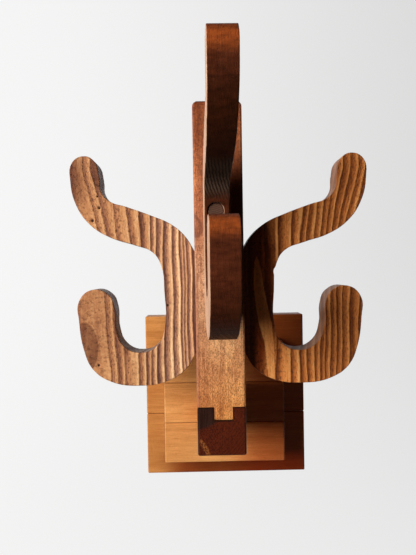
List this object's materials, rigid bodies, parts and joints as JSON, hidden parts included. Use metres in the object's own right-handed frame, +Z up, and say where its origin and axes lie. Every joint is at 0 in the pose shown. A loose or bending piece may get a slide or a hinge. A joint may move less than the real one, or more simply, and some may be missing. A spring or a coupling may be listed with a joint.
{
  "type": "mug tree",
  "caption": "Wall-hung wooden mug tree: a two-tier square wall plate, a square arm and mast, and double-hook boards on the mast's sides and front.",
  "frame": {"origin": "centre of the wall plate's back face, on the wall", "axes": "+Y into the wall, -Y out into the room, +Z up along the mast, +X to the right as seen from the room"},
  "size_m": [0.2357, 0.2202, 0.3408],
  "materials": {
    "base_wood": "stained softwood, satin",
    "arm_wood": "dark stained softwood, end grain in front",
    "mast_wood": "stained softwood, matte with fine pores",
    "hook_wood": "brushed and stained softwood, raised grain",
    "plug_wood": "dark stained end grain",
    "steel": "zinc plated"
  },
  "bodies": {
    "root": {"arm": "arm_wood", "arm_screw_1": "steel", "arm_screw_2": "steel", "hanger_screw_left_lower": "steel", "hanger_screw_left_upper": "steel", "hanger_screw_right_lower": "steel", "hanger_screw_right_upper": "steel", "hook_board_front": "hook_wood", "hook_board_left": "hook_wood", "hook_board_right": "hook_wood", "hook_plug_front_1": "plug_wood", "hook_plug_front_2": "plug_wood", "hook_plug_left_1": "plug_wood", "hook_plug_left_2": "plug_wood", "hook_plug_right_1": "plug_wood", "hook_plug_right_2": "plug_wood", "hook_screw_front_1": "steel", "hook_screw_front_2": "steel", "hook_screw_left_1": "steel", "hook_screw_left_2": "steel", "hook_screw_right_1": "steel", "hook_screw_right_2": "steel", "keyhole_hanger_left": "steel", "keyhole_hanger_right": "steel", "mast": "mast_wood", "mast_plug": "plug_wood", "mast_screw": "steel", "tier_screw_1": "steel", "tier_screw_2": "steel", "tier_screw_3": "steel", "tier_screw_4": "steel", "tier_strip_lower": "base_wood", "tier_strip_middle": "base_wood", "tier_strip_upper": "base_wood", "wall_plate_lower": "base_wood", "wall_plate_upper": "base_wood"}
  },
  "joints": []
}
